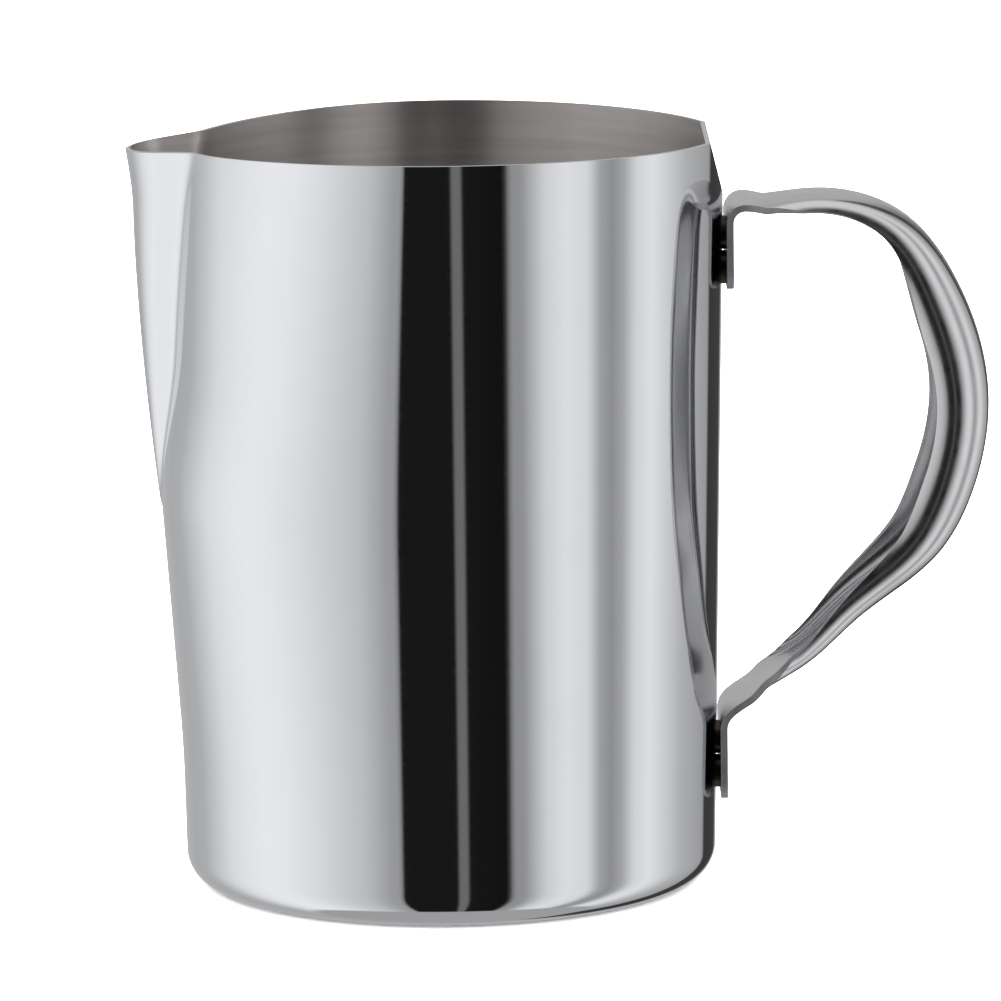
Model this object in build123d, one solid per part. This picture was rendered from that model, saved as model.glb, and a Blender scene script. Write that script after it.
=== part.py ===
"""Milk frothing pitcher: drawn steel cup with a pressed spout and a stamped strap handle.

Millimetres, +Z up. The origin is the centre of the standing ring, on the surface the
pitcher stands on. The spout points along -X and the handle along +X.
"""
import os
from math import asin, atan2, cos, pi, radians, sin, sqrt

from build123d import *

# ---- Cup ----
RIM_HEIGHT = 121.2         # highest point of the rim
FOOT_RADIUS = 42.8         # outside wall radius, carried down to the floor line
TAPER = 0.0183             # outside radius gained for each mm of height
WALL = 0.8                 # drawn sheet thickness
CORNER_RADIUS = 5.2        # outside corner between the wall and the base
RING_RADIUS = FOOT_RADIUS - 7.6    # inner edge of the flat standing ring
RING_RISE = 1.2            # how far the underside is dished up inside the ring

# ---- Spout ----
SPOUT_REACH = FOOT_RADIUS + 7.2        # ridge distance from the axis just under the lip
SPOUT_FOOT_REACH = FOOT_RADIUS + 3.4   # ridge distance from the axis at its foot
SPOUT_FOOT_Z = RIM_HEIGHT - 59.2       # height at which the pressed ridge starts
SPOUT_ROOT_Z = SPOUT_FOOT_Z - 6.6      # height where the ridge radius would shrink to nothing
SPOUT_RISE = 48.0          # height over which the ridge runs out to its full reach
LIP_RADIUS = 13.4          # nose radius of the spout at the rim
LIP_FLARE = 1.4            # extra outward curl of the lip
FLARE_HEIGHT = 11.2        # height of that curl
FLANK_ANGLE = 54.0         # spout flank normal, measured from the spout direction
CREASE_BLEND = 0.8         # softness of the crease between spout and wall

# ---- Wall drawn in beside the spout and swelling below it ----
SWELL_START = 16.0
SWELL_RATE = 0.05
SWELL_FADE = 26.0
SWELL_ANGLE = 70.0
DRAW_IN = 2.95
DRAW_INNER_ANGLE = 35.0
DRAW_OUTER_ANGLE = 90.0
LIP_DIP = 1.95             # how far the rim falls towards the spout
BACK_DIP = 0.55            # how far the rim falls towards the handle

# ---- Flat pressed on the wall over the handle ----
FACET_X = FOOT_RADIUS - 0.3    # distance of the flat from the axis at the rim
FACET_TILT = 13.6          # lean of the flat from upright

# ---- Handle strap ----
SHEET = 1.15               # strap thickness
TAB_HALF = 9.8             # half width of both tabs
GRIP_HALF = 12.4           # half width of the grip
CROWN_RADIUS = 60.0        # gentle arch across the outer face
ARM_ROLL_RADIUS = 2.5      # outside radius of the rolled edges in the arms
ARM_ROLL_ANGLE = 70.0      # turn of the rolled edges in the arms
GRIP_ROLL_RADIUS = 5.6     # outside radius of the rolled edges in the grip
GRIP_ROLL_ANGLE = 122.0    # turn of the rolled edges in the grip
TAB_CORNER = 2.8           # corner radius of the tab ends
EDGE_ROUND = 0.34          # bulge of the tumbled strap edges
TAB_STANDOFF = 0.4         # gap held open between each tab and the wall by the welds
UPPER_ARM_Z = RIM_HEIGHT - 11.05     # top face of the strap where it leaves the upper bend
UPPER_TAB_END = UPPER_ARM_Z - 13.85  # height of the lower end of the upper tab
UPPER_BEND = 3.0           # outside radius of the upper bend
LOWER_TAB_TOP = 25.2       # height where the lower tab becomes straight
LOWER_BEND = 3.7           # rise of the lower bend above that height
LOWER_TAB_END = 13.4       # height of the lower end of the lower tab
GRIP_X = FOOT_RADIUS + 44.5    # outermost point of the handle
GRIP_Z = RIM_HEIGHT - 43.2     # height of that point

# ---- Projection welds ----
WELD_RADIUS = 2.7
WELD_PITCH = 5.6           # spacing of the two nuggets on a tab

FAR = 200.0
SKIN_STEPS = 32            # sections through the cup wall
CORNER_STEPS = 8           # sections through the base corner


def clamp_step(value, low, high):
    """Smooth step from 0 at low to 1 at high."""
    t = min(1.0, max(0.0, (value - low) / (high - low)))
    return t * t * (3.0 - 2.0 * t)


def wall_radius(z):
    """Outside radius of the plain tapered wall."""
    return FOOT_RADIUS + TAPER * z


def swell(z):
    """Outward swell of the wall under the spout."""
    ramp = 2.0 * (22.0 - SWELL_START)
    if z <= SWELL_START:
        return 0.0
    if z < SWELL_START + ramp:
        return SWELL_RATE * (z - SWELL_START) ** 2 / (2.0 * ramp)
    rise = SWELL_RATE * (min(z, SPOUT_FOOT_Z) - SWELL_START - ramp / 2.0)
    if z <= SPOUT_FOOT_Z:
        return rise
    fade = min(1.0, (z - SPOUT_FOOT_Z) / SWELL_FADE)
    return rise * cos(fade * pi / 2.0) ** 2


def side_radius(turn, z):
    """Radius of the wall without its spout, at an angle in degrees from the spout."""
    radius = wall_radius(z)
    if turn < SWELL_ANGLE:
        radius += swell(z) * cos(turn / SWELL_ANGLE * pi / 2.0) ** 2
    if z > SPOUT_FOOT_Z:
        pull = ((z - SPOUT_FOOT_Z) / (RIM_HEIGHT - SPOUT_FOOT_Z)) ** 1.5
        away = clamp_step(turn, DRAW_INNER_ANGLE, DRAW_OUTER_ANGLE)
        radius -= DRAW_IN * pull * (1.0 - away)
    return radius


def ridge_reach(z):
    """Distance of the spout ridge from the axis."""
    if z < SPOUT_FOOT_Z:
        return SPOUT_FOOT_REACH - 0.35 * (SPOUT_FOOT_Z - z)
    run = min(1.0, (z - SPOUT_FOOT_Z) / SPOUT_RISE)
    gain = SPOUT_REACH - 0.33 - SPOUT_FOOT_REACH
    reach = SPOUT_FOOT_REACH + gain * (1.0 - (1.0 - run) ** 1.65)
    flare = max(0.0, (z - RIM_HEIGHT + FLARE_HEIGHT) / FLARE_HEIGHT)
    return reach + LIP_FLARE * flare ** 1.5


def spout_radius(turn, z, inset):
    """Radius of the spout's nose arc and straight flanks at an angle from the spout."""
    grown = max(0.02, (z - SPOUT_ROOT_Z) / (RIM_HEIGHT - SPOUT_ROOT_Z))
    nose = LIP_RADIUS * grown
    centre = ridge_reach(z) - nose
    nose = max(0.3, nose - inset)
    beta = radians(FLANK_ANGLE)
    limit = atan2(nose * sin(beta), centre + nose * cos(beta))
    angle = radians(turn)
    if angle < limit:
        return centre * cos(angle) + sqrt(nose ** 2 - (centre * sin(angle)) ** 2)
    return (centre * cos(beta) + nose) / cos(min(angle, beta) - beta)


def skin_radius(turn, z, inset):
    """Radius of the finished skin; inset 0 is the outside and WALL the inside."""
    turn = abs(turn)
    side = side_radius(turn, z) - inset
    grown = max(0.0, (z - SPOUT_ROOT_Z) / (RIM_HEIGHT - SPOUT_ROOT_Z))
    if grown == 0.0 or turn > 75.0:
        return side
    spout = spout_radius(turn, z, inset)
    blend = CREASE_BLEND * grown * (1.0 - clamp_step(turn, 45.0, 75.0))
    return (side + spout + sqrt((side - spout) ** 2 + blend ** 2)) / 2.0


def section_turns():
    """Angles round the cup from the spout, closest over it; the seam is on the +Y side."""
    half = []
    turn = 0.0
    while turn < 179.0:
        half.append(turn)
        turn += 2.0 + 6.0 * clamp_step(turn, 28.0, 70.0)
    turns = [-t for t in reversed(half[1:])] + half + [180.0]
    seam = len([t for t in turns if t < -90.0])
    return turns[seam:] + [t + 360.0 for t in turns[:seam]]


def skin_section(z, inset, shrink=0.0):
    """Closed wire round the cup at one height, drawn in evenly by shrink."""
    turns = section_turns()
    points = []
    for turn in turns:
        signed = turn if turn <= 180.0 else turn - 360.0
        radius = skin_radius(signed, max(z, CORNER_RADIUS), inset) - shrink
        angle = radians(180.0 - turn)
        points.append(Vector(radius * cos(angle), radius * sin(angle), z))
    knots = [(turn - turns[0]) / 360.0 for turn in turns] + [1.0]
    return Wire([Edge.make_spline(points, periodic=True, parameters=knots)])


def side_loft(inset):
    """Evenly spaced sections from the base corner to above the rim."""
    rise = RIM_HEIGHT + 2.0 - CORNER_RADIUS
    heights = [CORNER_RADIUS + rise * step / SKIN_STEPS for step in range(SKIN_STEPS + 1)]
    return Solid.make_loft([skin_section(z, inset) for z in heights])


def corner_loft(inset, floor_z):
    """Quarter round that joins the side to the floor."""
    corner = CORNER_RADIUS - inset
    sections = []
    for step in range(CORNER_STEPS + 1):
        angle = pi / 2.0 * step / CORNER_STEPS
        z = floor_z + corner * (1.0 - cos(angle))
        sections.append(skin_section(z, inset, corner * (1.0 - sin(angle))))
    return Solid.make_loft(sections)


def dish(inset, floor_z):
    """Shallow cone that lifts the middle of the base off the standing ring."""
    ring = RING_RADIUS - inset
    cone = Cone(ring, ring - 2.0 * RING_RISE, RING_RISE)
    return Pos(0, 0, floor_z + RING_RISE / 2.0) * cone


def facet_cutter(inset):
    """Block outside the inclined flat over the handle."""
    block = Pos(20, 0, 0) * Box(40, 80, 60)
    shift = inset / cos(radians(FACET_TILT))
    place = Pos(FACET_X - shift, 0, RIM_HEIGHT - BACK_DIP)
    return place * Rot(0, -FACET_TILT, 0) * block


def rim_drop(x):
    """Fall of the rim below its highest point, towards the spout or the handle."""
    if x < 0.0:
        return LIP_DIP * (-x / (SPOUT_REACH + 0.8)) ** 2.3
    return BACK_DIP * (x / FACET_X) ** 2


def rim_cutter():
    """Everything above the gently curved cut line of the rim."""
    reach = 60
    line = [(x, RIM_HEIGHT - rim_drop(x)) for x in range(-reach, reach + 1, 6)]
    curve = Spline(*line)
    top = RIM_HEIGHT + 60.0
    rest = Polyline(line[-1], (line[-1][0], top), (line[0][0], top), line[0])
    face = Plane.XZ * make_face([curve, rest])
    return extrude(face, amount=FAR / 2.0, both=True)


def cup_shell():
    outer = side_loft(0.0) - facet_cutter(0.0) - rim_cutter()
    outer = outer + corner_loft(0.0, 0.0) - dish(0.0, 0.0)
    inner = side_loft(WALL) - facet_cutter(WALL)
    inner = inner + corner_loft(WALL, WALL) - dish(WALL, WALL)
    return outer - inner


def upper_tab_x():
    """Face of the upper tab that looks at the wall."""
    return wall_radius(UPPER_ARM_Z) + TAB_STANDOFF - 0.1


def lower_tab_x():
    """Face of the lower tab that looks at the wall."""
    return wall_radius(LOWER_TAB_TOP) + TAB_STANDOFF


def strap_path():
    """Centre line of the strap's outer face, from the upper tab's end to the lower's."""
    upper_x = upper_tab_x()
    lower_x = lower_tab_x() + SHEET
    tab_up = Line((upper_x, UPPER_TAB_END), (upper_x, UPPER_ARM_Z - UPPER_BEND))
    bend = RadiusArc(tab_up @ 1, (upper_x + UPPER_BEND, UPPER_ARM_Z), UPPER_BEND)
    out = GRIP_X - upper_x
    low_end = LOWER_TAB_TOP + LOWER_BEND
    drop = UPPER_ARM_Z - low_end
    arm_points = [
        bend @ 1,
        (upper_x + 0.35 * out, UPPER_ARM_Z + 1.0),
        (upper_x + 0.69 * out, UPPER_ARM_Z - 0.04 * drop),
        (upper_x + 0.87 * out, UPPER_ARM_Z - 0.157 * drop),
        (GRIP_X, GRIP_Z),
        (upper_x + 0.95 * out, low_end + 0.435 * drop),
        (upper_x + 0.795 * out, low_end + 0.286 * drop),
        (upper_x + 0.503 * out, low_end + 0.166 * drop),
        (upper_x + 0.298 * out, low_end + 0.072 * drop),
        (lower_x + LOWER_BEND * 1.15, low_end + 0.6),
    ]
    lower_way = (-0.8, -0.6)
    arm = Spline(*arm_points, tangents=[(1.0, 0.0), lower_way])
    foot = Spline(arm @ 1, (lower_x, LOWER_TAB_TOP), tangents=[lower_way, (0, -1)])
    tab_down = Line(foot @ 1, (lower_x, LOWER_TAB_END))
    return [tab_up, bend, arm, foot, tab_down]


def strap_form(run, back):
    """Half width, roll radius and roll angle at a distance from the arm's two ends."""
    start = clamp_step(run, 0, 10) * clamp_step(back, 0, 10)
    grip = clamp_step(run, 6, 48) * clamp_step(back, -5, 50)
    half = TAB_HALF + (GRIP_HALF - TAB_HALF) * clamp_step(run, 10, 55) * clamp_step(back, 5, 60)
    roll = ARM_ROLL_RADIUS + (GRIP_ROLL_RADIUS - ARM_ROLL_RADIUS) * grip
    angle = ARM_ROLL_ANGLE * start + (GRIP_ROLL_ANGLE - ARM_ROLL_ANGLE) * grip
    return half, roll, radians(max(0.1, angle))


def strap_profile(share, half, roll, angle):
    """Sideways place, sink and lean of the outer face at a share from crest to lip."""
    crown = half - roll * sin(min(angle, pi / 2.0))
    lean = min(asin(crown / CROWN_RADIUS), 0.5 * angle)
    arch = crown / sin(lean)
    reach = abs(share) * (arch * lean + roll * (angle - lean))
    bend = min(reach / arch, lean)
    side = arch * sin(bend)
    sink = arch * (1.0 - cos(bend))
    if reach > arch * lean:
        bend = lean + (reach - arch * lean) / roll
        side += roll * (sin(bend) - sin(lean))
        sink += roll * (cos(lean) - cos(bend))
    return side, sink, bend


def strap_section(spot, along, form):
    """One closed section: outer face, rounded edge, inner face, rounded edge."""
    outward = Vector(-along.Y, along.X)

    def place(share, depth, past):
        side, sink, bend = strap_profile(share, *form)
        side += past * cos(bend) - depth * sin(bend)
        sink += past * sin(bend) + depth * cos(bend)
        flat = spot - outward * sink
        return Vector(flat.X, side if share > 0.0 else -side, flat.Y)

    half_steps = 9
    shares = [step / half_steps - 1.0 for step in range(2 * half_steps + 1)]
    knots = [0.5 + share / 2.0 for share in shares]
    outer_points = [place(share, 0.0, 0.0) for share in shares]
    inner_points = [place(-share, SHEET, 0.0) for share in shares]
    edges = [
        Edge.make_spline(outer_points, parameters=knots),
        ThreePointArc(outer_points[-1], place(1.0, SHEET / 2.0, EDGE_ROUND), inner_points[0]),
        Edge.make_spline(inner_points, parameters=knots),
        ThreePointArc(inner_points[-1], place(-1.0, SHEET / 2.0, EDGE_ROUND), outer_points[0]),
    ]
    return Wire(edges)


def handle_strap():
    """Strap made as five stretches that share their end sections."""
    curves = strap_path()
    arm = curves[2]
    strap = None
    for curve, steps in zip(curves, (1, 4, 28, 4, 1)):
        sections = []
        for step in range(steps + 1):
            share = step / steps
            run = share * arm.length if curve is arm else 0.0
            form = strap_form(run, arm.length - run)
            sections.append(strap_section(curve @ share, curve % share, form))
        stretch = Solid.make_loft(sections, ruled=steps == 1)
        strap = stretch if strap is None else strap + stretch
    for end_z in (UPPER_TAB_END, LOWER_TAB_END):
        strap -= tab_corners(end_z)
    return strap


def tab_corners(end_z):
    """Material outside the two rounded corners at a tab's lower end."""
    keep = 2.0 * (TAB_HALF + 1.0)
    low = Pos(FOOT_RADIUS, 0, end_z + TAB_CORNER / 2.0 - 1.0) * Box(9, keep, TAB_CORNER + 2.0)
    plan = Rectangle(2.0 * (TAB_HALF + EDGE_ROUND), 20)
    plan = fillet(plan.vertices(), TAB_CORNER)
    saved = extrude(Plane.YZ * Pos(0, end_z + 10.0) * plan, amount=FAR, both=True)
    return low - saved


def weld(z, tab_face_x, shell):
    """Projection-weld nugget filling the gap between the wall and a tab at one height."""
    reach = TAB_STANDOFF + WALL / 2.0
    disc = Pos(tab_face_x - reach / 2.0, 0, z) * Rot(0, 90, 0) * Cylinder(WELD_RADIUS, reach)
    return disc - shell


def show(name, shape):
    box = shape.bounding_box()
    print(name, shape.is_valid, round(shape.volume, 1), len(shape.solids()), box.min, box.max)


def main():
    os.makedirs("parts", exist_ok=True)
    shell = cup_shell()
    nodes = {"cup_shell": shell, "handle_strap": handle_strap()}
    upper_mid = 0.5 * (UPPER_TAB_END + UPPER_ARM_Z - UPPER_BEND)
    lower_mid = 0.5 * (LOWER_TAB_END + LOWER_TAB_TOP)
    for tab, mid_z, face_x in (
        ("upper_tab", upper_mid, upper_tab_x()),
        ("lower_tab", lower_mid, lower_tab_x()),
    ):
        for place, step in (("high", WELD_PITCH / 2.0), ("low", -WELD_PITCH / 2.0)):
            nodes[tab + "_weld_" + place] = weld(mid_z + step, face_x, shell)
    for name, shape in nodes.items():
        show(name, shape)
        export_step(shape, "parts/" + name + ".step")


main()
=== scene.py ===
"""Milk frothing pitcher: the detailed cup, handle, welds and studio over the CAD frame.

Metres, +Z up, the CAD model's own origin and axes. The spout points along -X.
"""

from math import asin, atan2, cos, degrees, hypot, pi, radians, sin, sqrt

import bmesh
import bpy
import numpy as np
from bpy.props import FloatProperty, FloatVectorProperty, IntProperty, PointerProperty
from mathutils import Matrix, Vector


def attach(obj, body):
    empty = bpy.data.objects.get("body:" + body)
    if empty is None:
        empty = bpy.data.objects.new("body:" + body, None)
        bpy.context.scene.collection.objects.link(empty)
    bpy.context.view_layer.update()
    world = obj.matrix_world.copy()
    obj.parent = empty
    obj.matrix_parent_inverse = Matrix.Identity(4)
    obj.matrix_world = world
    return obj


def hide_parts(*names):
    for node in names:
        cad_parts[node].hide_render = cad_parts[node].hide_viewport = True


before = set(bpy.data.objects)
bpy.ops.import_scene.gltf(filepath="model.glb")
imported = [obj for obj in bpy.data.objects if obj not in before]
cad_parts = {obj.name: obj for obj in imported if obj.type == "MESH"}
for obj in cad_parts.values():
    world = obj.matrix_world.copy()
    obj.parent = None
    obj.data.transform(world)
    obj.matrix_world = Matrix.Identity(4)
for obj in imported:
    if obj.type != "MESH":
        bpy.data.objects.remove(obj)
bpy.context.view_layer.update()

bl_info = {
    "name": "Milk Frothing Pitcher",
    "version": (1, 0, 0),
    "blender": (4, 5, 0),
    "location": "3D View > Sidebar > Pitcher",
    "description": "Builds a drawn steel frothing pitcher, its handle and a studio",
    "category": "Object",
}

MM = 0.001

# Shape of the cup in millimetres, the same values as the CAD model's
RIM_HEIGHT = 121.2
FOOT_RADIUS = 42.8
TAPER = 0.0183
CORNER_RADIUS = 5.2
RING_RADIUS = FOOT_RADIUS - 7.6
RING_RISE = 1.2
DISH_ROUND = 1.2         # rounding of both edges of the dish under the base
SPOUT_REACH = FOOT_RADIUS + 7.2
SPOUT_FOOT_REACH = FOOT_RADIUS + 3.4
SPOUT_FOOT_Z = RIM_HEIGHT - 59.2
SPOUT_ROOT_Z = SPOUT_FOOT_Z - 6.6
SPOUT_RISE = 48.0
LIP_RADIUS = 13.4
LIP_FLARE = 1.4
FLARE_HEIGHT = 11.2
FLANK_ANGLE = 54.0
CREASE_BLEND = 0.8
SWELL_START = 16.0
SWELL_RAMP = 12.0
SWELL_RATE = 0.05
SWELL_FADE = 26.0
SWELL_ANGLE = 70.0
DRAW_IN = 2.95
DRAW_INNER_ANGLE = 35.0
DRAW_OUTER_ANGLE = 90.0
LIP_DIP = 1.95
BACK_DIP = 0.55
FACET_X = FOOT_RADIUS - 0.3
FACET_TILT = 13.6
RIM_MARGIN = 0.015       # keeps the faceted rim below the solid's highest point
COLUMN_CROWDING = 0.6    # 0 spaces the columns evenly, higher crowds them at the spout

# Shape of the strap in millimetres, the same values as the CAD model's
STRAP_SHEET = 1.15
TAB_HALF = 9.8
GRIP_HALF = 12.4
CROWN_RADIUS = 60.0
ARM_ROLL_RADIUS = 2.5
ARM_ROLL_ANGLE = 70.0
GRIP_ROLL_RADIUS = 5.6
GRIP_ROLL_ANGLE = 122.0
TAB_CORNER = 2.8
TAB_STANDOFF = 0.4
UPPER_ARM_Z = RIM_HEIGHT - 11.05
UPPER_TAB_END = UPPER_ARM_Z - 13.85
UPPER_BEND = 3.0
LOWER_TAB_TOP = 25.2
LOWER_BEND = 3.7
LOWER_TAB_END = 13.4
GRIP_X = FOOT_RADIUS + 44.5
GRIP_Z = RIM_HEIGHT - 43.2
LOWER_WAY = (-0.80, -0.60)  # direction of the arm where it meets the lower bend

TENT_LOW = -57.0         # elevations in degrees where the tent's panels end
TENT_HIGH = 48.0
FLOOR_SIZE = 8.0         # half the side of the paper, in metres
CAMERA_LENS = 267.6
CAMERA_SHIFT = 0.0044
CAMERA_AIM_X = 8.63      # sideways place of the point aimed at, in millimetres

# Brightness of the studio tent's panels by azimuth in degrees: 0 faces the camera,
# 90 the handle side. Two narrow black flags stand in front and one behind the handle.
TENT_PANELS = (
    (-146, 0.52), (-134, 0.57), (-122, 0.76), (-110, 0.98),
    (-98, 1.10), (-86, 1.16), (-74, 1.12), (-61, 1.01), (-37, 0.72),
    (-25, 0.46), (-21.2, 0.44), (-20.7, 0.012), (3.2, 0.012), (3.8, 0.20),
    (7.2, 0.20), (7.8, 0.012), (25.0, 0.008), (27.5, 0.38), (32, 0.40),
    (42, 0.88), (51, 1.04), (61, 0.95), (67, 0.50), (73, 0.38),
    (79, 0.52), (86, 0.92), (95, 1.06), (118, 0.60), (141, 0.42),
    (143, 0.05), (163, 0.06), (168, 0.52),
)


def linear(hex_code):
    """Linear RGB of an sRGB colour given as a hex string."""
    parts = [int(hex_code[i:i + 2], 16) / 255.0 for i in (1, 3, 5)]
    return tuple(c / 12.92 if c <= 0.04045 else ((c + 0.055) / 1.055) ** 2.4 for c in parts)


# ---- Shape of the cup ----


def clamp_step(value, low, high):
    """Smooth step from 0 at low to 1 at high."""
    t = min(1.0, max(0.0, (value - low) / (high - low)))
    return t * t * (3.0 - 2.0 * t)


def wall_radius(z):
    """Outside radius of the plain tapered wall."""
    return FOOT_RADIUS + TAPER * z


def swell(z):
    """Outward swell of the wall under the spout."""
    if z <= SWELL_START:
        return 0.0
    if z < SWELL_START + SWELL_RAMP:
        return SWELL_RATE * (z - SWELL_START) ** 2 / (2.0 * SWELL_RAMP)
    rise = SWELL_RATE * (min(z, SPOUT_FOOT_Z) - SWELL_START - SWELL_RAMP / 2.0)
    if z <= SPOUT_FOOT_Z:
        return rise
    fade = min(1.0, (z - SPOUT_FOOT_Z) / SWELL_FADE)
    return rise * cos(fade * pi / 2.0) ** 2


def side_radius(turn, z):
    """Radius of the wall without its spout, at an angle in degrees from the spout."""
    radius = wall_radius(z)
    if turn < SWELL_ANGLE:
        radius += swell(z) * cos(turn / SWELL_ANGLE * pi / 2.0) ** 2
    if z > SPOUT_FOOT_Z:
        pull = ((z - SPOUT_FOOT_Z) / (RIM_HEIGHT - SPOUT_FOOT_Z)) ** 1.5
        radius -= DRAW_IN * pull * (1.0 - clamp_step(turn, DRAW_INNER_ANGLE, DRAW_OUTER_ANGLE))
    return radius


def ridge_reach(z):
    """Distance of the spout ridge from the axis."""
    if z < SPOUT_FOOT_Z:
        return SPOUT_FOOT_REACH - 0.35 * (SPOUT_FOOT_Z - z)
    run = min(1.0, (z - SPOUT_FOOT_Z) / SPOUT_RISE)
    gain = SPOUT_REACH - 0.33 - SPOUT_FOOT_REACH
    reach = SPOUT_FOOT_REACH + gain * (1.0 - (1.0 - run) ** 1.65)
    flare = max(0.0, (z - RIM_HEIGHT + FLARE_HEIGHT) / FLARE_HEIGHT)
    return reach + LIP_FLARE * flare ** 1.5


def skin_radius(turn, z):
    """Radius of the finished outside at an angle in degrees from the spout."""
    side = side_radius(turn, z)
    grown = (z - SPOUT_ROOT_Z) / (RIM_HEIGHT - SPOUT_ROOT_Z)
    if grown <= 0.0 or turn > 75.0:
        return side
    nose = LIP_RADIUS * max(0.02, grown)
    centre = ridge_reach(z) - nose
    beta = radians(FLANK_ANGLE)
    angle = radians(turn)
    if angle < atan2(nose * sin(beta), centre + nose * cos(beta)):
        spout = centre * cos(angle) + sqrt(nose ** 2 - (centre * sin(angle)) ** 2)
    else:
        spout = (centre * cos(beta) + nose) / cos(min(angle, beta) - beta)
    blend = CREASE_BLEND * grown * (1.0 - clamp_step(turn, 45.0, 75.0))
    return (side + spout + sqrt((side - spout) ** 2 + blend ** 2)) / 2.0


def rim_drop(x):
    """Fall of the rim below its highest point, towards the spout or the handle."""
    if x < 0.0:
        return LIP_DIP * (-x / (SPOUT_REACH + 0.8)) ** 2.3
    return BACK_DIP * (x / FACET_X) ** 2


# ---- Shape of the strap ----


def spline_through(points, start, end, steps):
    """Smooth curve through points with both end directions held, as an array."""
    knots = np.array(points, float)
    spans = np.linalg.norm(np.diff(knots, axis=0), axis=1)
    count = len(knots)
    system = np.zeros((count, count))
    right = np.zeros((count, 2))
    system[0, 0] = system[-1, -1] = 1.0
    right[0] = np.array(start) / hypot(*start)
    right[-1] = np.array(end) / hypot(*end)
    for i in range(1, count - 1):
        before, after = spans[i - 1], spans[i]
        system[i, i - 1:i + 2] = after, 2.0 * (before + after), before
        rise = (knots[i + 1] - knots[i]) / after
        fall = (knots[i] - knots[i - 1]) / before
        right[i] = 3.0 * (before * rise + after * fall)
    slopes = np.linalg.solve(system, right)
    t = np.linspace(0.0, 1.0, steps, endpoint=False)[:, None]
    pieces = []
    for i, span in enumerate(spans):
        stay = (1.0 + 2.0 * t) * (1.0 - t) ** 2 * knots[i]
        stay = stay + t * t * (3.0 - 2.0 * t) * knots[i + 1]
        lean = t * (1.0 - t) ** 2 * slopes[i] - t * t * (1.0 - t) * slopes[i + 1]
        pieces.append(stay + span * lean)
    pieces.append(knots[-1:])
    return np.concatenate(pieces)


def strap_path():
    """Centre line of the strap's outer face and its length at each bend, in millimetres."""
    upper_x = wall_radius(UPPER_ARM_Z) + TAB_STANDOFF - 0.1
    lower_x = wall_radius(LOWER_TAB_TOP) + TAB_STANDOFF + STRAP_SHEET
    out = GRIP_X - upper_x
    low_end = LOWER_TAB_TOP + LOWER_BEND
    drop = UPPER_ARM_Z - low_end
    tab_top = UPPER_ARM_Z - UPPER_BEND
    heights = np.linspace(UPPER_TAB_END, tab_top, 60, endpoint=False)
    tab_up = np.column_stack([np.full(60, upper_x), heights])
    sweep = np.linspace(0.0, pi / 2.0, 80, endpoint=False)
    bend_x = upper_x + UPPER_BEND * (1.0 - np.cos(sweep))
    bend = np.column_stack([bend_x, tab_top + UPPER_BEND * np.sin(sweep)])
    arm = spline_through(
        [
            (upper_x + UPPER_BEND, UPPER_ARM_Z),
            (upper_x + 0.35 * out, UPPER_ARM_Z + 1.0),
            (upper_x + 0.69 * out, UPPER_ARM_Z - 0.04 * drop),
            (upper_x + 0.87 * out, UPPER_ARM_Z - 0.157 * drop),
            (GRIP_X - 0.02, GRIP_Z),
            (upper_x + 0.95 * out, low_end + 0.435 * drop),
            (upper_x + 0.795 * out, low_end + 0.286 * drop),
            (upper_x + 0.503 * out, low_end + 0.166 * drop),
            (upper_x + 0.298 * out, low_end + 0.072 * drop),
            (lower_x + LOWER_BEND * 1.15, low_end + 0.6),
        ],
        (1.0, 0.0),
        LOWER_WAY,
        80,
    )
    foot_ends = [(lower_x + LOWER_BEND * 1.15, low_end + 0.6), (lower_x, LOWER_TAB_TOP)]
    foot = spline_through(foot_ends, LOWER_WAY, (0.0, -1.0), 80)
    low_heights = np.linspace(LOWER_TAB_TOP, LOWER_TAB_END, 60)
    tab_down = np.column_stack([np.full(60, lower_x), low_heights])
    stretches = [tab_up, bend, arm[:-1], foot[:-1], tab_down]
    path = np.concatenate(stretches)
    steps = np.linalg.norm(np.diff(path, axis=0), axis=1)
    run = np.concatenate([[0.0], np.cumsum(steps)])
    marks = [run[sum(len(s) for s in stretches[:k])] for k in range(5)] + [run[-1]]
    return path, run, marks


def strap_form(run, back):
    """Half width, roll radius and roll angle at a distance from the arm's two ends."""
    start = clamp_step(run, 0, 10) * clamp_step(back, 0, 10)
    grip = clamp_step(run, 6, 48) * clamp_step(back, -5, 50)
    half = TAB_HALF + (GRIP_HALF - TAB_HALF) * clamp_step(run, 10, 55) * clamp_step(back, 5, 60)
    roll = ARM_ROLL_RADIUS + (GRIP_ROLL_RADIUS - ARM_ROLL_RADIUS) * grip
    angle = ARM_ROLL_ANGLE * start + (GRIP_ROLL_ANGLE - ARM_ROLL_ANGLE) * grip
    return half, roll, radians(max(0.1, angle))


def strap_section(share, half, roll, angle):
    """Sideways place and sink of a point at a share of the way from crest to lip."""
    crown = half - roll * sin(min(angle, pi / 2.0))
    lean = min(asin(crown / CROWN_RADIUS), 0.5 * angle)
    arch = crown / sin(lean)
    reach = abs(share) * (arch * lean + roll * (angle - lean))
    bend = min(reach / arch, lean)
    side = arch * sin(bend)
    sink = arch * (1.0 - cos(bend))
    if reach > arch * lean:
        bend = lean + (reach - arch * lean) / roll
        side += roll * (sin(bend) - sin(lean))
        sink += roll * (cos(lean) - cos(bend))
    return (side if share > 0.0 else -side), sink


# ---- Materials ----


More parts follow.
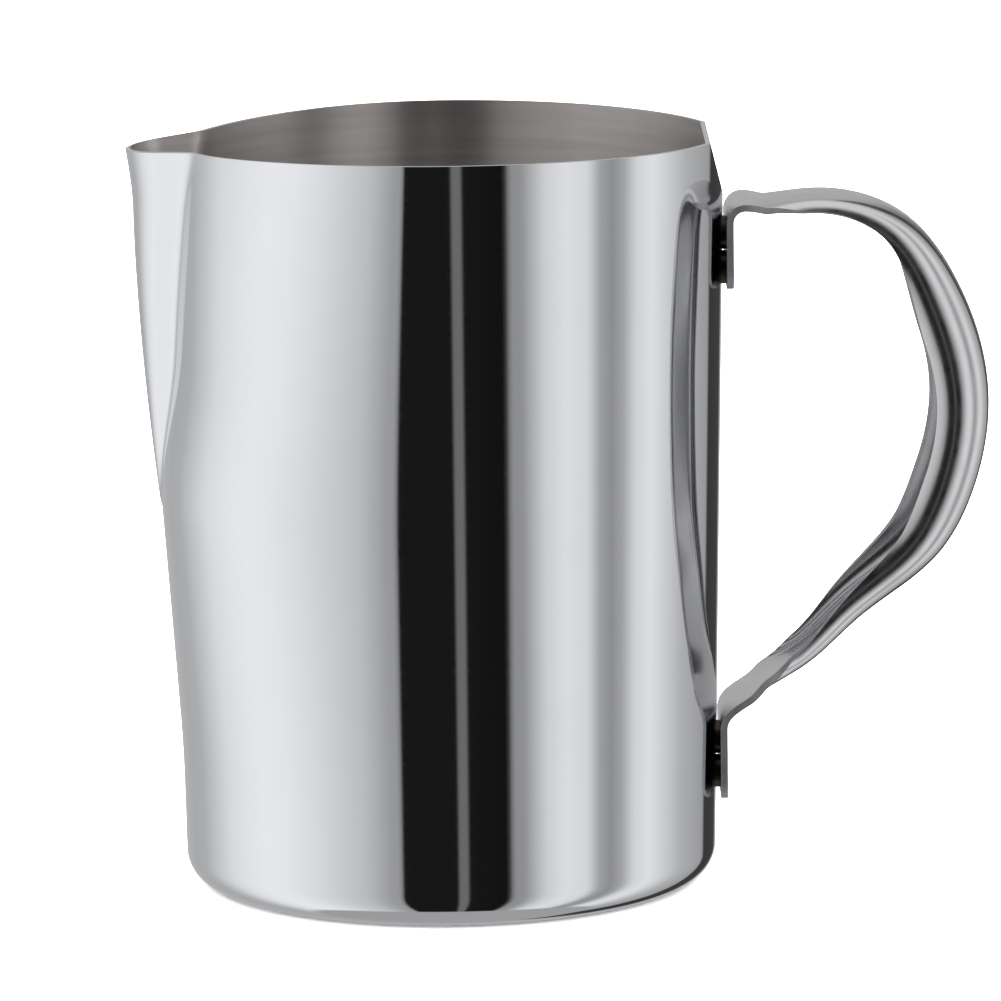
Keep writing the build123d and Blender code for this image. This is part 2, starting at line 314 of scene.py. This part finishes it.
def add_node(tree, kind, settings=None, links=None):
    """Adds one node, with properties or input values as settings and sources as links."""
    node = tree.nodes.new(kind)
    for name, value in (settings or {}).items():
        if name == "stops":
            fill_stops(node.color_ramp, value)
        elif isinstance(name, int) or name in node.inputs:
            node.inputs[name].default_value = value
        else:
            setattr(node, name, value)
    for name, source in (links or {}).items():
        tree.links.new(source, node.inputs[name])
    return node


def fill_stops(ramp, stops):
    """Sets a colour ramp's stops from (place, grey or colour) pairs in order."""
    while len(ramp.elements) > 1:
        ramp.elements.remove(ramp.elements[-1])
    for index, (place, tone) in enumerate(stops):
        element = ramp.elements[0] if index == 0 else ramp.elements.new(place)
        element.position = place
        rgb = (tone, tone, tone) if isinstance(tone, (int, float)) else tuple(tone)
        element.color = rgb + (1.0,)


def new_material(name):
    """An empty node material and the node tree to fill."""
    material = bpy.data.materials.new(name)
    material.use_nodes = True
    material.node_tree.nodes.clear()
    return material, material.node_tree


def metal_surface(tree, tones, tone_noise, rough, rough_noise, relief, height_mm, brush=0.0):
    """Principled metal with a drifting tone, uneven roughness and a fine relief."""
    colour = add_node(
        tree,
        "ShaderNodeValToRGB",
        {"stops": ((0.3, tones[0]), (0.7, tones[1]))},
        {"Fac": tone_noise.outputs["Fac"]},
    )
    uneven = add_node(
        tree,
        "ShaderNodeMapRange",
        {"From Min": 0.3, "From Max": 0.7, "To Min": rough[0], "To Max": rough[1]},
        {"Value": rough_noise.outputs["Fac"]},
    )
    bump = add_node(
        tree,
        "ShaderNodeBump",
        {"Strength": 1.0, "Distance": height_mm * MM},
        {"Height": relief.outputs["Fac"]},
    )
    shader = add_node(
        tree,
        "ShaderNodeBsdfPrincipled",
        {"Metallic": 1.0, "Anisotropic": brush, "Anisotropic Rotation": 0.25},
        {
            "Base Color": colour.outputs["Color"],
            "Roughness": uneven.outputs["Result"],
            "Normal": bump.outputs["Normal"],
        },
    )
    add_node(tree, "ShaderNodeOutputMaterial", {}, {"Surface": shader.outputs["BSDF"]})


def stretched_noise(tree, scale, settings):
    """Noise on the piece's own coordinates, in cycles per metre along each axis."""
    place = add_node(tree, "ShaderNodeTexCoord")
    mapping = add_node(
        tree, "ShaderNodeMapping", {"Scale": scale}, {"Vector": place.outputs["Object"]}
    )
    return add_node(tree, "ShaderNodeTexNoise", settings, {"Vector": mapping.outputs["Vector"]})


def mirror_polished_stainless(finish):
    """Type 304 stainless steel, drawn, then buffed to a mirror.

    To the eye: sharp reflections, a slightly warm grey, and a faint haze where the
    buffing wheel passed in rings round the wall.
    """
    material, tree = new_material("mirror_polished_stainless")
    tone = stretched_noise(tree, (40.0, 40.0, 60.0), {"Scale": 1.0, "Detail": 2.0})
    haze = stretched_noise(tree, (25.0, 25.0, 900.0), {"Scale": 1.0, "Detail": 3.0})
    # buffing lines about 0.8 mm apart, far coarser than the real ones so that they show
    lines = stretched_noise(tree, (18.0, 18.0, 1200.0), {"Scale": 1.0, "Detail": 2.0})
    light = tuple(finish.mirror_colour)
    dark = tuple(c * 0.985 for c in light)
    metal_surface(tree, (dark, light), tone, (0.035, 0.06), haze, lines, 0.0006)
    return material


def satin_brushed_stainless(finish):
    """The inside of the same steel, left with a satin spun finish.

    To the eye: soft rings round the bowl, streaks of light instead of reflections.
    """
    material, tree = new_material("satin_brushed_stainless")
    tone = stretched_noise(tree, (30.0, 30.0, 700.0), {"Scale": 1.0, "Detail": 4.0})
    streak = stretched_noise(tree, (20.0, 20.0, 2200.0), {"Scale": 1.0, "Detail": 2.0})
    # spun rings about 0.4 mm apart
    rings = stretched_noise(tree, (12.0, 12.0, 2600.0), {"Scale": 1.0, "Detail": 3.0})
    light = tuple(finish.satin_colour)
    dark = tuple(c * 0.86 for c in light)
    metal_surface(tree, (dark, light), tone, (0.34, 0.42), streak, rings, 0.0015, 1.0)
    return material


def trimmed_edge_stainless(finish):
    """The cut edge of the rim: trimmed, then rolled smooth and buffed.

    To the eye: a thin bright line with small breaks in its shine.
    """
    material, tree = new_material("trimmed_edge_stainless")
    tone = stretched_noise(tree, (300.0, 300.0, 300.0), {"Scale": 1.0, "Detail": 2.0})
    breaks = stretched_noise(tree, (600.0, 600.0, 600.0), {"Scale": 1.0, "Detail": 3.0})
    nicks = stretched_noise(tree, (1500.0, 1500.0, 1500.0), {"Scale": 1.0, "Detail": 2.0})
    light = tuple(finish.mirror_colour)
    dark = tuple(c * 0.93 for c in light)
    metal_surface(tree, (dark, light), tone, (0.08, 0.2), breaks, nicks, 0.003)
    return material


def tumbled_stainless(finish):
    """Stainless strap, stamped and tumbled with ceramic chips until bright.

    To the eye: soft-edged reflections and a fine even grain.
    """
    material, tree = new_material("tumbled_stainless")
    tone = stretched_noise(tree, (90.0, 90.0, 90.0), {"Scale": 1.0, "Detail": 3.0})
    cloud = stretched_noise(tree, (350.0, 350.0, 350.0), {"Scale": 1.0, "Detail": 3.0})
    # chip marks about 0.35 mm across
    grain = stretched_noise(tree, (2800.0, 2800.0, 2800.0), {"Scale": 1.0, "Detail": 3.0})
    light = tuple(finish.strap_colour)
    dark = tuple(c * 0.95 for c in light)
    metal_surface(tree, (dark, light), tone, (0.18, 0.25), cloud, grain, 0.0012)
    return material


def sheared_edge_stainless(finish):
    """The strap's sheared edges, rounded by the same tumbling but still rough.

    To the eye: a matt light grey line along each bright face.
    """
    material, tree = new_material("sheared_edge_stainless")
    tone = stretched_noise(tree, (500.0, 500.0, 500.0), {"Scale": 1.0, "Detail": 3.0})
    cloud = stretched_noise(tree, (900.0, 900.0, 900.0), {"Scale": 1.0, "Detail": 3.0})
    # shear marks about 0.2 mm apart
    tears = stretched_noise(tree, (5000.0, 5000.0, 5000.0), {"Scale": 1.0, "Detail": 2.0})
    light = tuple(finish.strap_colour)
    dark = tuple(c * 0.88 for c in light)
    metal_surface(tree, (dark, light), tone, (0.5, 0.65), cloud, tears, 0.008)
    return material


def weld_tint_and_painted_shade_steel(finish):
    """Projection-weld nuggets: melted under pressure, straw-tinted and matt.

    To the eye: small dull spots, browner and rougher than the steel about them; their dark
    colour is partly the weld's own heat tint and partly painted shade for the gap between strap
    and cup.
    """
    material, tree = new_material("weld_tint_and_painted_shade_steel")
    tone = stretched_noise(tree, (900.0, 900.0, 900.0), {"Scale": 1.0, "Detail": 4.0})
    scale_patches = stretched_noise(tree, (700.0, 700.0, 700.0), {"Scale": 1.0, "Detail": 4.0})
    # melt ripples about 0.25 mm apart
    ripple = stretched_noise(tree, (4000.0, 4000.0, 4000.0), {"Scale": 1.0, "Detail": 3.0})
    # painted shade: the weld colour and its darker tone are set darker than heat tint alone,
    # standing in for the shaded gap where the strap's tabs meet the cup
    light = tuple(finish.weld_tint_and_painted_shade)
    dark = tuple(c * 0.6 for c in light)
    metal_surface(tree, (dark, light), tone, (0.4, 0.6), scale_patches, ripple, 0.02)
    return material


def matt_paper_floor():
    """Roll of matt white studio paper: almost even, with a very fine tooth."""
    material, tree = new_material("matt_white_paper")
    # paper tooth about 0.6 mm across
    tooth = stretched_noise(tree, (1700.0, 1700.0, 1700.0), {"Scale": 1.0, "Detail": 2.0})
    colour = add_node(
        tree,
        "ShaderNodeValToRGB",
        {"stops": ((0.3, linear("#F2F2F2")), (0.7, linear("#F7F7F7")))},
        {"Fac": tooth.outputs["Fac"]},
    )
    shader = add_node(
        tree,
        "ShaderNodeBsdfPrincipled",
        {"Roughness": 0.95, "Specular IOR Level": 0.1},
        {"Base Color": colour.outputs["Color"]},
    )
    add_node(tree, "ShaderNodeOutputMaterial", {}, {"Surface": shader.outputs["BSDF"]})
    return material


def glowing_tent_cloth():
    """Backlit tent cloth with black flags, brightest at each side."""
    material, tree = new_material("backlit_tent_cloth")
    place = add_node(tree, "ShaderNodeTexCoord")
    turn = add_node(
        tree,
        "ShaderNodeMapping",
        {"Rotation": (0.0, 0.0, pi / 2.0)},
        {"Vector": place.outputs["Object"]},
    )
    around = add_node(
        tree,
        "ShaderNodeTexGradient",
        {"gradient_type": "RADIAL"},
        {"Vector": turn.outputs["Vector"]},
    )
    panels = add_node(
        tree,
        "ShaderNodeValToRGB",
        {"stops": [(0.5 + azimuth / 360.0, glow) for azimuth, glow in TENT_PANELS]},
        {"Fac": around.outputs["Fac"]},
    )
    split = add_node(tree, "ShaderNodeSeparateXYZ", {}, {"Vector": place.outputs["Object"]})
    radius = bpy.context.scene.pitcher_studio.tent_radius
    up = add_node(
        tree,
        "ShaderNodeMapRange",
        {"From Min": -radius, "From Max": radius},
        {"Value": split.outputs["Z"]},
    )
    # the panels end above and below, where plain cloth closes the tent
    low = 0.5 + 0.5 * sin(radians(TENT_LOW))
    high = 0.5 + 0.5 * sin(radians(TENT_HIGH))
    cloth = add_node(
        tree,
        "ShaderNodeValToRGB",
        {
            "stops": ((low - 0.012, 1.0), (low, 0.0), (high, 0.0), (high + 0.1, 1.0)),
        },
        {"Fac": up.outputs["Result"]},
    )
    ends = add_node(
        tree,
        "ShaderNodeValToRGB",
        {"stops": ((0.3, 0.47), (0.7, 0.9))},
        {"Fac": up.outputs["Result"]},
    )
    mix = add_node(
        tree,
        "ShaderNodeMix",
        {"data_type": "RGBA"},
        {0: cloth.outputs["Color"], 6: panels.outputs["Color"], 7: ends.outputs["Color"]},
    )
    glow = add_node(tree, "ShaderNodeEmission", {"Strength": 1.0}, {"Color": mix.outputs[2]})
    add_node(tree, "ShaderNodeOutputMaterial", {}, {"Surface": glow.outputs["Emission"]})
    return material


# ---- Pieces ----


def finish_piece(name, mesh, materials):
    """Turns a bmesh into a smooth-shaded object at the origin with its materials."""
    data = bpy.data.meshes.new(name)
    mesh.to_mesh(data)
    mesh.free()
    for face in data.polygons:
        face.use_smooth = True
    for material in materials:
        data.materials.append(material)
    piece = bpy.data.objects.new(name, data)
    bpy.context.scene.collection.objects.link(piece)
    return piece


def give_thickness(piece, thickness, rounding, inner, rim):
    """Solidify inwards and round the cut edges."""
    solid = piece.modifiers.new("wall", "SOLIDIFY")
    solid.thickness = thickness
    solid.offset = -1.0
    solid.use_even_offset = True
    solid.material_offset = inner
    solid.material_offset_rim = rim
    edge = piece.modifiers.new("edge", "BEVEL")
    edge.width = rounding
    edge.segments = 3
    edge.profile = 0.5
    edge.limit_method = "ANGLE"
    edge.angle_limit = radians(60)
    edge.harden_normals = True
    edge.material = -1


def cup_profile(mesh):
    """Half outline of the cup from the middle of the base to the rim."""
    foot = wall_radius(CORNER_RADIUS)
    outline = (
        (0.0, RING_RISE),
        (RING_RADIUS - 2.0 * RING_RISE, RING_RISE),
        (RING_RADIUS, 0.0),
        (foot, 0.0),
        (foot, RIM_HEIGHT),
    )
    points = [mesh.verts.new((x * MM, 0.0, z * MM)) for x, z in outline]
    for first, second in zip(points, points[1:]):
        mesh.edges.new((first, second))
    return points


def press_wall(mesh):
    """Moves the turned wall out to its taper, spout, swell and curved rim."""
    low = CORNER_RADIUS * MM
    top = RIM_HEIGHT * MM
    for point in mesh.verts:
        radius = hypot(point.co.x, point.co.y)
        if radius < 1e-6:
            continue
        turn = atan2(point.co.y, -point.co.x)
        turn -= COLUMN_CROWDING * sin(turn)
        z = point.co.z
        if z > low + 1e-6:
            away = abs(degrees(turn))
            edge = -skin_radius(away, RIM_HEIGHT) * cos(turn)
            lowered = RIM_HEIGHT - RIM_MARGIN - rim_drop(min(edge, FACET_X))
            z = low + (z - low) * (lowered * MM - low) / (top - low)
            radius = skin_radius(away, z / MM) * MM
        point.co = (-radius * cos(turn), radius * sin(turn), z)


def press_flat(mesh):
    """Cuts the wall back to the leaning flat over the handle and closes the gap."""
    tilt = radians(FACET_TILT)
    cut = bmesh.ops.bisect_plane(
        mesh,
        geom=mesh.verts[:] + mesh.edges[:] + mesh.faces[:],
        dist=1e-7,
        plane_co=(FACET_X * MM, 0.0, (RIM_HEIGHT - BACK_DIP) * MM),
        plane_no=(cos(tilt), 0.0, sin(tilt)),
        clear_outer=True,
    )
    seam = [part for part in cut["geom_cut"] if isinstance(part, bmesh.types.BMEdge)]
    ends = [point for edge in seam for point in edge.verts
            if sum(link in seam for link in point.link_edges) == 1]
    top = mesh.edges.new(ends)
    bmesh.ops.contextual_create(mesh, geom=seam + [top])
    for edge in seam:
        edge.smooth = False


class CupSizes(bpy.types.PropertyGroup):
    """Sizes of the cup that a user may change."""

    wall: FloatProperty(
        name="Wall", description="Thickness of the drawn sheet", default=0.8 * MM,
        min=0.3 * MM, max=2.0 * MM, unit="LENGTH", precision=4,
    )
    rim_round: FloatProperty(
        name="Rim rounding", description="Rounding on each edge of the cut rim",
        default=0.3 * MM, min=0.05 * MM, max=0.39 * MM, unit="LENGTH", precision=4,
    )
    columns: IntProperty(
        name="Columns", description="Faces round the wall", default=320, min=60, max=360,
    )
    rows: IntProperty(
        name="Rows", description="Faces from the foot to the rim", default=120, min=40, max=130,
    )


class StrapSizes(bpy.types.PropertyGroup):
    """Sizes of the handle strap that a user may change."""

    sheet: FloatProperty(
        name="Sheet", description="Thickness of the strap", default=STRAP_SHEET * MM,
        min=0.5 * MM, max=2.0 * MM, unit="LENGTH", precision=4,
    )
    edge_round: FloatProperty(
        name="Edge rounding", description="Rounding on the tumbled edges",
        default=0.35 * MM, min=0.05 * MM, max=0.5 * MM, unit="LENGTH", precision=4,
    )
    columns: IntProperty(
        name="Columns", description="Faces across the strap", default=36, min=12, max=60,
    )


class FinishColours(bpy.types.PropertyGroup):
    """Colours of the steel finishes."""

    mirror_colour: FloatVectorProperty(
        name="Mirror steel", description="Colour of the polished cup", subtype="COLOR",
        size=3, min=0.0, max=1.0, default=linear("#D8D9DC"),
    )
    satin_colour: FloatVectorProperty(
        name="Satin steel", description="Colour of the satin inside", subtype="COLOR",
        size=3, min=0.0, max=1.0, default=linear("#D4D0CE"),
    )
    strap_colour: FloatVectorProperty(
        name="Strap steel", description="Colour of the tumbled handle", subtype="COLOR",
        size=3, min=0.0, max=1.0, default=linear("#D4D4D6"),
    )
    # painted shade: this weld colour is partly the nugget's heat tint and partly darkened to
    # stand in for the shaded gap at the strap's tabs
    weld_tint_and_painted_shade: FloatVectorProperty(
        name="Weld", description="Colour of the weld nuggets", subtype="COLOR",
        size=3, min=0.0, max=1.0, default=linear("#6E6357"),
    )


class StudioSettings(bpy.types.PropertyGroup):
    """Light and camera."""

    tent_radius: FloatProperty(
        name="Tent radius", description="Radius of the light tent", default=3.0,
        min=1.0, max=10.0, unit="LENGTH",
    )
    sky: FloatProperty(
        name="Sky", description="Brightness of the light on the floor", default=4.0,
        min=0.0, max=10.0,
    )
    camera_distance: FloatProperty(
        name="Camera distance", description="Distance from the middle of the cup",
        default=1.2, min=0.5, max=5.0, unit="LENGTH",
    )
    camera_height: FloatProperty(
        name="Camera elevation", description="How far the camera looks down",
        default=radians(9.69), min=0.0, max=pi / 2.0, subtype="ANGLE",
    )
    camera_roll: FloatProperty(
        name="Camera roll", description="Turn of the camera about its own line of sight",
        default=radians(-0.686), min=-0.2, max=0.2, subtype="ANGLE",
    )


class PITCHER_OT_cup(bpy.types.Operator):
    """Build the cup over its CAD solid"""

    bl_idname = "pitcher.make_cup"
    bl_label = "Make Cup"

    def execute(self, context):
        sizes = context.scene.pitcher_cup
        finish = context.scene.pitcher_finish
        mesh = bmesh.new()
        cup_profile(mesh)
        bmesh.ops.spin(
            mesh,
            geom=mesh.verts[:] + mesh.edges[:],
            cent=(0.0, 0.0, 0.0),
            axis=(0.0, 0.0, 1.0),
            angle=2.0 * pi,
            steps=sizes.columns,
            use_merge=True,
        )
        bmesh.ops.remove_doubles(mesh, verts=mesh.verts[:], dist=1e-6)
        foot = wall_radius(CORNER_RADIUS) * MM
        for radius, height, rounding, segments in (
            (foot, 0.0, CORNER_RADIUS * MM, 12),
            (RING_RADIUS * MM, 0.0, DISH_ROUND * MM, 3),
            ((RING_RADIUS - 2.0 * RING_RISE) * MM, RING_RISE * MM, DISH_ROUND * MM, 3),
        ):
            loop = [edge for edge in mesh.edges if all(
                abs(hypot(v.co.x, v.co.y) - radius) < 1e-6 and abs(v.co.z - height) < 1e-6
                for v in edge.verts
            )]
            bmesh.ops.bevel(
                mesh, geom=loop, offset=rounding, offset_type="OFFSET", segments=segments,
                profile=0.5, affect="EDGES", clamp_overlap=False, material=-1,
            )
        uprights = [edge for edge in mesh.edges
                    if abs(edge.verts[0].co.z - edge.verts[1].co.z) > 50.0 * MM]
        bmesh.ops.subdivide_edges(mesh, edges=uprights, cuts=sizes.rows, use_grid_fill=True)
        press_wall(mesh)
        press_flat(mesh)
        bmesh.ops.recalc_face_normals(mesh, faces=mesh.faces[:])
        side = max(mesh.faces, key=lambda face: face.calc_center_median().y)
        if side.normal.y < 0.0:
            bmesh.ops.reverse_faces(mesh, faces=mesh.faces[:])
        cup = finish_piece(
            "polished_cup",
            mesh,
            (
                mirror_polished_stainless(finish),
                satin_brushed_stainless(finish),
                trimmed_edge_stainless(finish),
            ),
        )
        give_thickness(cup, sizes.wall, sizes.rim_round, 1, 2)
        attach(cup, "root")
        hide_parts("cup_shell")
        return {"FINISHED"}


class PITCHER_OT_handle(bpy.types.Operator):
    """Build the handle strap over its CAD solid"""

    bl_idname = "pitcher.make_handle"
    bl_label = "Make Handle"

    def execute(self, context):
        sizes = context.scene.pitcher_strap
        finish = context.scene.pitcher_finish
        path, run, marks = strap_path()
        mesh = bmesh.new()
        length = float(run[-1])
        plate = ((0.0, -TAB_HALF), (length, -TAB_HALF), (length, TAB_HALF), (0.0, TAB_HALF))
        mesh.faces.new([mesh.verts.new((x, y, 0.0)) for x, y in plate])
        bmesh.ops.bevel(
            mesh, geom=mesh.verts[:], offset=TAB_CORNER, offset_type="OFFSET", segments=8,
            profile=0.5, affect="VERTICES", material=-1,
        )
        cuts = []
        for first, last, count in zip(marks, marks[1:], (14, 18, 150, 18, 16)):
            cuts += [(first + (last - first) * k / count, 0) for k in range(count)]
        cuts = cuts[1:]
        across = sizes.columns
        cuts += [(TAB_HALF * (2.0 * k / across - 1.0), 1) for k in range(1, across)]
        for place, axis in cuts:
            bmesh.ops.bisect_plane(
                mesh,
                geom=mesh.verts[:] + mesh.edges[:] + mesh.faces[:],
                dist=1e-5,
                plane_co=(place, 0.0, 0.0) if axis == 0 else (0.0, place, 0.0),
                plane_no=(1.0, 0.0, 0.0) if axis == 0 else (0.0, 1.0, 0.0),
            )
        slope = np.gradient(path, run, axis=0)
        for point in mesh.verts:
            along, share = point.co.x, point.co.y / TAB_HALF
            x, z = (float(np.interp(along, run, path[:, k])) for k in (0, 1))
            way = Vector([float(np.interp(along, run, slope[:, k])) for k in (0, 1)])
            way = way.normalized()
            past = min(marks[3], max(marks[2], along)) - marks[2]
            form = strap_form(past, marks[3] - marks[2] - past)
            side, sink = strap_section(share, *form)
            point.co = Vector((x + way.y * sink, side, z - way.x * sink)) * MM
        bmesh.ops.recalc_face_normals(mesh, faces=mesh.faces[:])
        outermost = max(mesh.faces, key=lambda face: face.calc_center_median().x)
        if outermost.normal.x < 0.0:
            bmesh.ops.reverse_faces(mesh, faces=mesh.faces[:])
        steels = (tumbled_stainless(finish), sheared_edge_stainless(finish))
        handle = finish_piece("strap_handle", mesh, steels)
        give_thickness(handle, sizes.sheet, sizes.edge_round, 0, 1)
        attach(handle, "root")
        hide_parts("handle_strap")
        return {"FINISHED"}


class PITCHER_OT_welds(bpy.types.Operator):
    """Give the four weld nuggets their finish"""

    bl_idname = "pitcher.finish_welds"
    bl_label = "Finish Welds"

    def execute(self, context):
        material = weld_tint_and_painted_shade_steel(context.scene.pitcher_finish)
        welds = [piece for name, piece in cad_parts.items() if "weld" in name]
        if len(welds) != 4:
            raise RuntimeError("the frame should hold four welds")
        for piece in welds:
            piece.data.materials.clear()
            piece.data.materials.append(material)
        return {"FINISHED"}


class PITCHER_OT_stage(bpy.types.Operator):
    """Build the floor, light tent, light and camera"""

    bl_idname = "pitcher.make_stage"
    bl_label = "Make Stage"

    def execute(self, context):
        scene = context.scene
        studio = scene.pitcher_studio
        floor_mesh = bmesh.new()
        bmesh.ops.create_grid(floor_mesh, x_segments=1, y_segments=1, size=FLOOR_SIZE)
        floor = finish_piece("paper_floor", floor_mesh, (matt_paper_floor(),))
        floor.visible_glossy = False
        tent_mesh = bmesh.new()
        bmesh.ops.create_uvsphere(
            tent_mesh, u_segments=64, v_segments=32, radius=studio.tent_radius
        )
        tent = finish_piece("light_tent", tent_mesh, (glowing_tent_cloth(),))
        tent.visible_camera = False
        tent.visible_diffuse = False
        tent.visible_shadow = False
        world = bpy.data.worlds.new("studio")
        world.use_nodes = True
        back = world.node_tree.nodes["Background"]
        back.inputs["Color"].default_value = (1.0, 1.0, 1.0, 1.0)
        back.inputs["Strength"].default_value = studio.sky
        scene.world = world
        scene.view_settings.view_transform = "Standard"
        place_camera(scene, studio)
        return {"FINISHED"}


def place_camera(scene, studio):
    """Long lens, slightly above the rim, square on to the side of the pitcher."""
    down, roll = studio.camera_height, studio.camera_roll
    look = Vector((0.0, cos(down), -sin(down)))
    rise = Vector((0.0, sin(down), cos(down)))
    side = Vector((1.0, 0.0, 0.0))
    right = cos(roll) * side + sin(roll) * rise
    up = -sin(roll) * side + cos(roll) * rise
    middle = Vector((CAMERA_AIM_X * MM, 0.0, 0.5 * RIM_HEIGHT * MM))
    data = bpy.data.cameras.new("camera")
    data.sensor_width = 36.0
    data.lens = CAMERA_LENS
    data.shift_y = CAMERA_SHIFT
    camera = bpy.data.objects.new("camera", data)
    place = Matrix((right, up, -look)).transposed().to_4x4()
    place.translation = middle - look * studio.camera_distance
    camera.matrix_world = place
    scene.collection.objects.link(camera)
    scene.camera = camera


class PITCHER_PT_panel(bpy.types.Panel):
    """Lists the operators and the sizes"""

    bl_idname = "PITCHER_PT_panel"
    bl_label = "Milk Frothing Pitcher"
    bl_space_type = "VIEW_3D"
    bl_region_type = "UI"
    bl_category = "Pitcher"

    def draw(self, context):
        layout = self.layout
        for group, names in (
            (context.scene.pitcher_cup, ("wall", "rim_round", "columns", "rows")),
            (context.scene.pitcher_strap, ("sheet", "edge_round", "columns")),
            (context.scene.pitcher_finish,
             ("mirror_colour", "satin_colour", "strap_colour", "weld_tint_and_painted_shade")),
            (context.scene.pitcher_studio, ("tent_radius", "sky", "camera_distance")),
        ):
            box = layout.box()
            for name in names:
                box.prop(group, name)
        for operator in OPERATORS:
            layout.operator(operator.bl_idname)


OPERATORS = (PITCHER_OT_cup, PITCHER_OT_handle, PITCHER_OT_welds, PITCHER_OT_stage)
GROUPS = (
    ("pitcher_cup", CupSizes),
    ("pitcher_strap", StrapSizes),
    ("pitcher_finish", FinishColours),
    ("pitcher_studio", StudioSettings),
)


def register():
    for name, group in GROUPS:
        bpy.utils.register_class(group)
        setattr(bpy.types.Scene, name, PointerProperty(type=group))
    for operator in OPERATORS:
        bpy.utils.register_class(operator)
    bpy.utils.register_class(PITCHER_PT_panel)


def unregister():
    bpy.utils.unregister_class(PITCHER_PT_panel)
    for operator in reversed(OPERATORS):
        bpy.utils.unregister_class(operator)
    for name, group in reversed(GROUPS):
        delattr(bpy.types.Scene, name)
        bpy.utils.unregister_class(group)


def main():
    register()
    bpy.ops.pitcher.make_cup()
    bpy.ops.pitcher.make_handle()
    bpy.ops.pitcher.finish_welds()
    bpy.ops.pitcher.make_stage()


if __name__ == "__main__":
    main()
